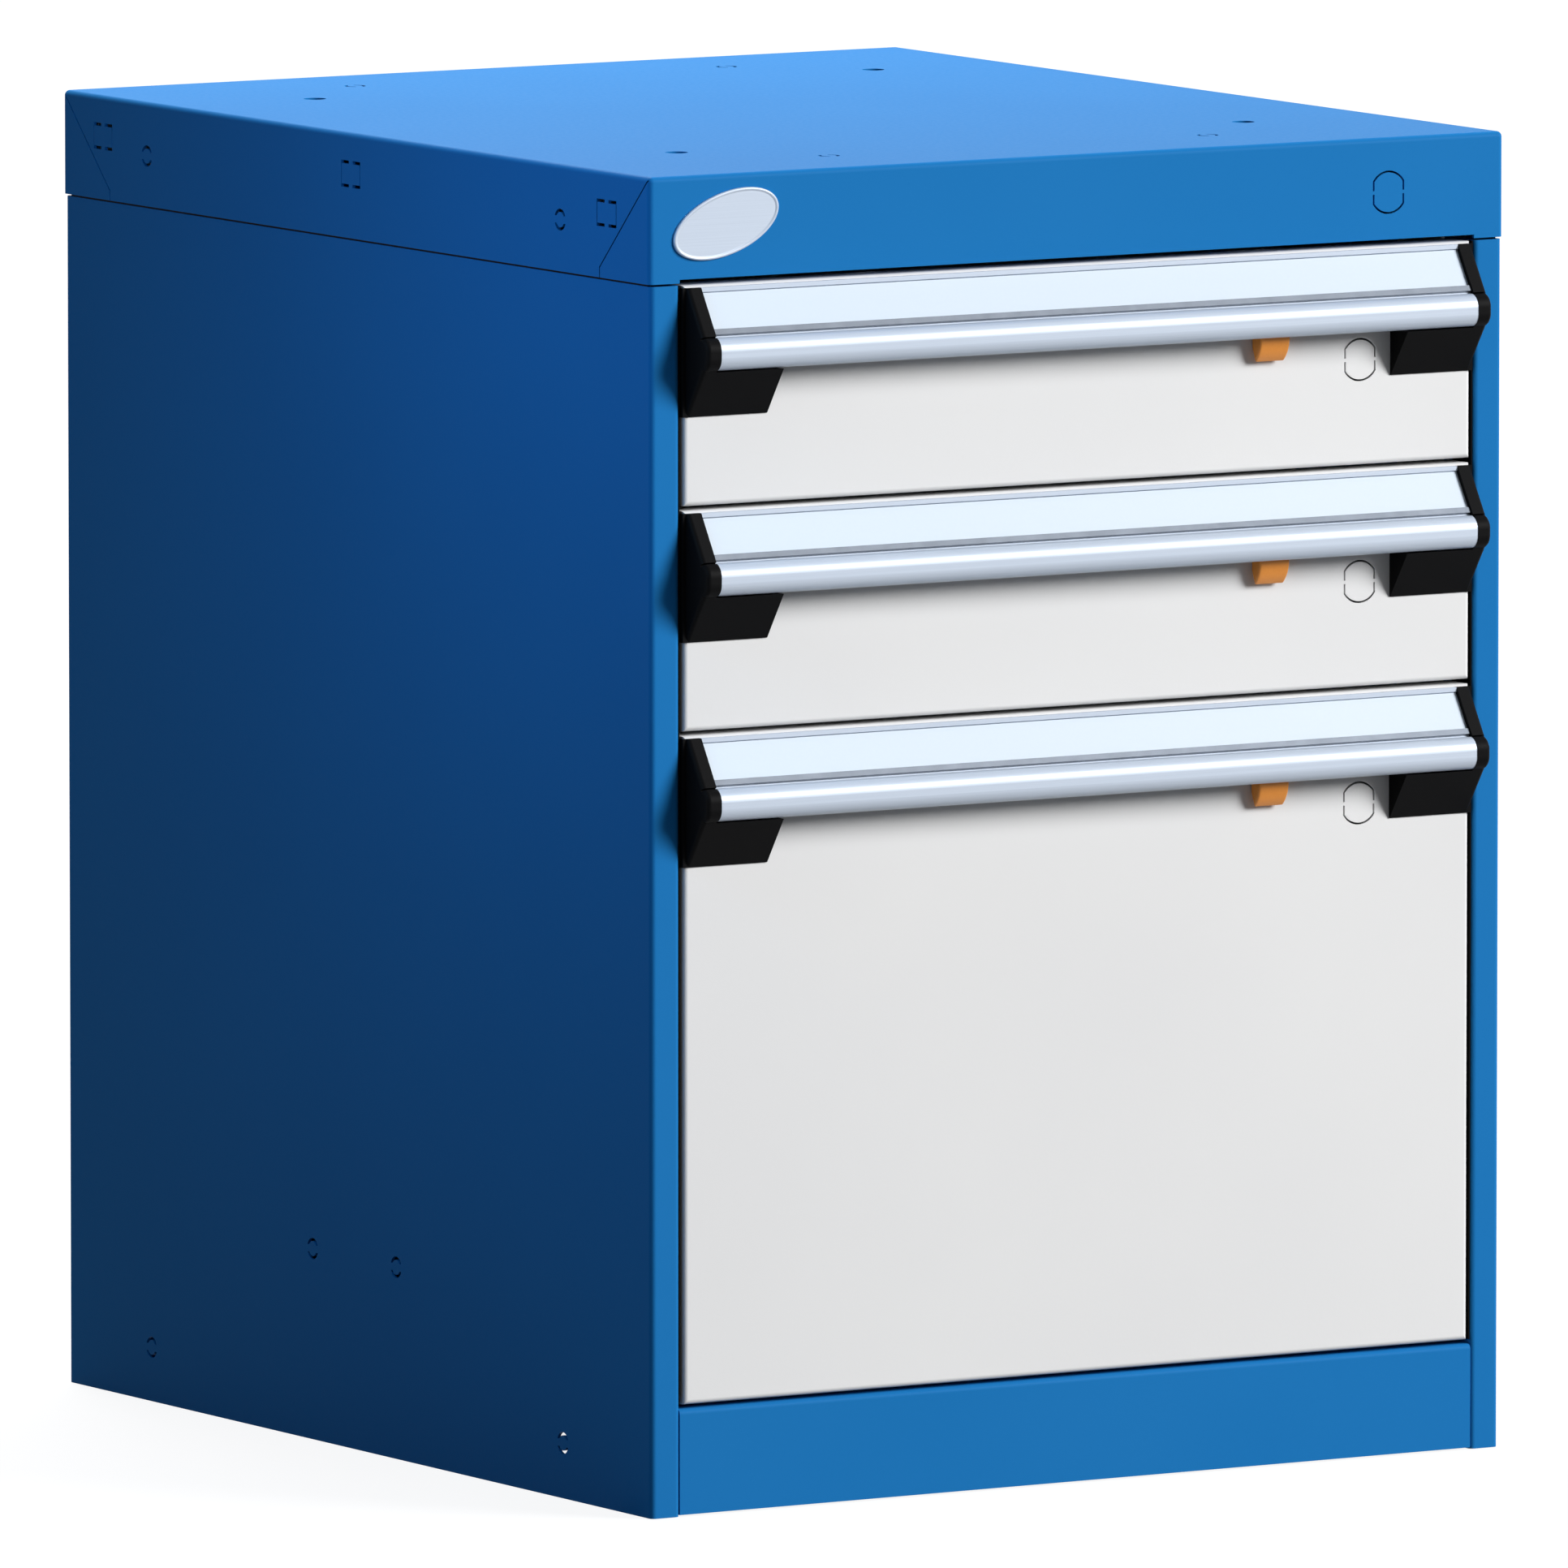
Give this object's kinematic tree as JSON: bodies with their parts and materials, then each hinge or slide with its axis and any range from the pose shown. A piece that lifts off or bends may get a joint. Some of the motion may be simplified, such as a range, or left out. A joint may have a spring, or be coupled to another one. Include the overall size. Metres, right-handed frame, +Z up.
{
  "type": "modular drawer cabinet",
  "caption": "Blue powder-coated steel drawer cabinet with light-grey drawers, full-width aluminium pull handles with label strips, black end caps and orange sliding latches.",
  "frame": {"origin": "on the floor, at the middle of the bounding box's footprint", "axes": "+X to the right seen from the front, front with the handles faces -Y, +Z up"},
  "size_m": [0.4572, 0.5534, 0.6096],
  "materials": {
    "blue_powder_coat": "semi-gloss powder coat, fine orange peel",
    "grey_powder_coat": "satin powder coat, fine orange peel",
    "zinc_plated_steel": "zinc plated",
    "spring_steel": "bright drawn",
    "anodised_aluminium": "satin anodised",
    "label_card": "card under clear film",
    "black_plastic": "fine moulded texture",
    "orange_plastic": "satin moulded",
    "nylon": "turned nylon"
  },
  "bodies": {
    "housing": {"top_cap": "blue_powder_coat", "side_panel_left": "blue_powder_coat", "side_panel_right": "blue_powder_coat", "back_panel": "blue_powder_coat", "base_pan": "blue_powder_coat", "upright_front_left": "zinc_plated_steel", "upright_front_right": "zinc_plated_steel", "upright_rear_left": "zinc_plated_steel", "upright_rear_right": "zinc_plated_steel", "bottom_cabinet_rails": "zinc_plated_steel", "middle_cabinet_rails": "zinc_plated_steel", "top_cabinet_rails": "zinc_plated_steel"},
    "bottom_drawer": {"bottom_drawer_front": "grey_powder_coat", "bottom_tray": "grey_powder_coat", "bottom_runners": "zinc_plated_steel", "bottom_handle_bar": "anodised_aluminium", "bottom_label_strip": "label_card", "bottom_end_cap_left": "black_plastic", "bottom_end_cap_right": "black_plastic", "bottom_latch_guides": "zinc_plated_steel", "bottom_latch_spring": "spring_steel"},
    "bottom_carriage": {"bottom_carriages": "zinc_plated_steel", "bottom_glides": "nylon"},
    "bottom_front_rollers": {"bottom_rollers_front": "nylon"},
    "bottom_rear_rollers": {"bottom_rollers_rear": "nylon"},
    "bottom_latch": {"bottom_latch_tab": "orange_plastic", "bottom_latch_bolt": "zinc_plated_steel"},
    "middle_drawer": {"middle_drawer_front": "grey_powder_coat", "middle_tray": "grey_powder_coat", "middle_runners": "zinc_plated_steel", "middle_handle_bar": "anodised_aluminium", "middle_label_strip": "label_card", "middle_end_cap_left": "black_plastic", "middle_end_cap_right": "black_plastic", "middle_latch_guides": "zinc_plated_steel", "middle_latch_spring": "spring_steel"},
    "middle_carriage": {"middle_carriages": "zinc_plated_steel", "middle_glides": "nylon"},
    "middle_front_rollers": {"middle_rollers_front": "nylon"},
    "middle_rear_rollers": {"middle_rollers_rear": "nylon"},
    "middle_latch": {"middle_latch_tab": "orange_plastic", "middle_latch_bolt": "zinc_plated_steel"},
    "top_drawer": {"top_drawer_front": "grey_powder_coat", "top_tray": "grey_powder_coat", "top_runners": "zinc_plated_steel", "top_handle_bar": "anodised_aluminium", "top_label_strip": "label_card", "top_end_cap_left": "black_plastic", "top_end_cap_right": "black_plastic", "top_latch_guides": "zinc_plated_steel", "top_latch_spring": "spring_steel"},
    "top_carriage": {"top_carriages": "zinc_plated_steel", "top_glides": "nylon"},
    "top_front_rollers": {"top_rollers_front": "nylon"},
    "top_rear_rollers": {"top_rollers_rear": "nylon"},
    "top_latch": {"top_latch_tab": "orange_plastic", "top_latch_bolt": "zinc_plated_steel"}
  },
  "joints": [
    {"name": "bottom_drawer_slide", "type": "slide", "parent": "housing", "child": "bottom_drawer", "axis": [0, -1, 0], "range_m": [0, 0.457]},
    {"name": "bottom_carriage_slide", "type": "slide", "parent": "housing", "child": "bottom_carriage", "axis": [0, -1, 0], "range_m": [0, 0.2285]},
    {"name": "bottom_front_roller_spin", "type": "hinge", "parent": "bottom_carriage", "child": "bottom_front_rollers", "pos_m": [0, -0.2142, 0.0718], "axis": [1, 0, 0], "continuous": true},
    {"name": "bottom_rear_roller_spin", "type": "hinge", "parent": "bottom_carriage", "child": "bottom_rear_rollers", "pos_m": [0, 0.2319, 0.0718], "axis": [1, 0, 0], "continuous": true},
    {"name": "bottom_latch_slide", "type": "slide", "parent": "bottom_drawer", "child": "bottom_latch", "axis": [-1, 0, 0], "range_m": [0, 0.008], "stiffness_N_per_m": 250, "deforming": ["bottom_latch_spring"]},
    {"name": "middle_drawer_slide", "type": "slide", "parent": "housing", "child": "middle_drawer", "axis": [0, -1, 0], "range_m": [0, 0.457]},
    {"name": "middle_carriage_slide", "type": "slide", "parent": "housing", "child": "middle_carriage", "axis": [0, -1, 0], "range_m": [0, 0.2285]},
    {"name": "middle_front_roller_spin", "type": "hinge", "parent": "middle_carriage", "child": "middle_front_rollers", "pos_m": [0, -0.2142, 0.3784], "axis": [1, 0, 0], "continuous": true},
    {"name": "middle_rear_roller_spin", "type": "hinge", "parent": "middle_carriage", "child": "middle_rear_rollers", "pos_m": [0, 0.2319, 0.3784], "axis": [1, 0, 0], "continuous": true},
    {"name": "middle_latch_slide", "type": "slide", "parent": "middle_drawer", "child": "middle_latch", "axis": [-1, 0, 0], "range_m": [0, 0.008], "stiffness_N_per_m": 250, "deforming": ["middle_latch_spring"]},
    {"name": "top_drawer_slide", "type": "slide", "parent": "housing", "child": "top_drawer", "axis": [0, -1, 0], "range_m": [0, 0.457]},
    {"name": "top_carriage_slide", "type": "slide", "parent": "housing", "child": "top_carriage", "axis": [0, -1, 0], "range_m": [0, 0.2285]},
    {"name": "top_front_roller_spin", "type": "hinge", "parent": "top_carriage", "child": "top_front_rollers", "pos_m": [0, -0.2142, 0.4806], "axis": [1, 0, 0], "continuous": true},
    {"name": "top_rear_roller_spin", "type": "hinge", "parent": "top_carriage", "child": "top_rear_rollers", "pos_m": [0, 0.2319, 0.4806], "axis": [1, 0, 0], "continuous": true},
    {"name": "top_latch_slide", "type": "slide", "parent": "top_drawer", "child": "top_latch", "axis": [-1, 0, 0], "range_m": [0, 0.008], "stiffness_N_per_m": 250, "deforming": ["top_latch_spring"]}
  ],
  "couplings": [
    {"joint": "bottom_carriage_slide", "follows": "bottom_drawer_slide", "ratio": 0.5},
    {"joint": "bottom_front_roller_spin", "follows": "bottom_drawer_slide", "rad_per_m": 45.455},
    {"joint": "bottom_rear_roller_spin", "follows": "bottom_drawer_slide", "rad_per_m": 45.455},
    {"joint": "middle_carriage_slide", "follows": "middle_drawer_slide", "ratio": 0.5},
    {"joint": "middle_front_roller_spin", "follows": "middle_drawer_slide", "rad_per_m": 45.455},
    {"joint": "middle_rear_roller_spin", "follows": "middle_drawer_slide", "rad_per_m": 45.455},
    {"joint": "top_carriage_slide", "follows": "top_drawer_slide", "ratio": 0.5},
    {"joint": "top_front_roller_spin", "follows": "top_drawer_slide", "rad_per_m": 45.455},
    {"joint": "top_rear_roller_spin", "follows": "top_drawer_slide", "rad_per_m": 45.455}
  ]
}
